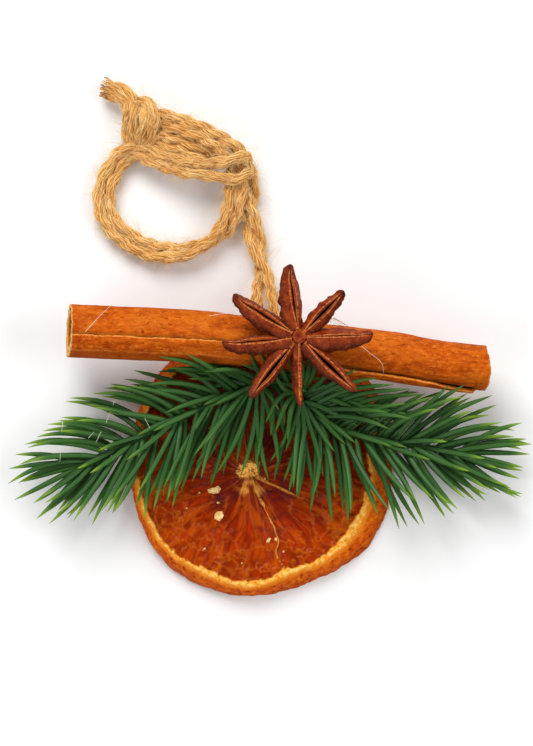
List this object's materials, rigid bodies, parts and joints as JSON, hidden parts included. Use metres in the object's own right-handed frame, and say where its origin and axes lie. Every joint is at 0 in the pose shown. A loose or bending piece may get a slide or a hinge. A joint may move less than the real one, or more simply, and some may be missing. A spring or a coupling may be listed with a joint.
{
  "type": "dried orange slice ornament",
  "caption": "Hanging ornament of a dried orange slice with a cinnamon stick, a star anise, moulded pine sprigs and a knotted jute loop.",
  "frame": {"origin": "middle of the slice's back face, which the ornament lies on", "axes": "+Z out of the ornament's front, +Y towards its hanger, +X to the right when it is seen from the front"},
  "size_m": [0.1125, 0.1146, 0.0247],
  "materials": {
    "dried_orange": "dried citrus flesh, glossy and dark orange, in a dull orange peel",
    "cinnamon_bark": "matte rolled bark with a fine lengthwise grain",
    "anise_pod": "wrinkled dried seed pods with a low sheen",
    "pine_plastic": "moulded green plastic needles with a low sheen",
    "jute_twine": "hairy natural jute, twisted in two plies",
    "hot_glue": "clear set hot glue",
    "fruit_crumb": "small dry crumbs of pith"
  },
  "bodies": {
    "root": {"orange_slice": "dried_orange", "cinnamon_stick": "cinnamon_bark", "star_anise": "anise_pod", "pine_sprig_left": "pine_plastic", "pine_sprig_right": "pine_plastic", "hanger_stem": "jute_twine", "hanger_ring": "jute_twine", "hanger_knot": "jute_twine", "hanger_tail": "jute_twine"}
  },
  "joints": []
}
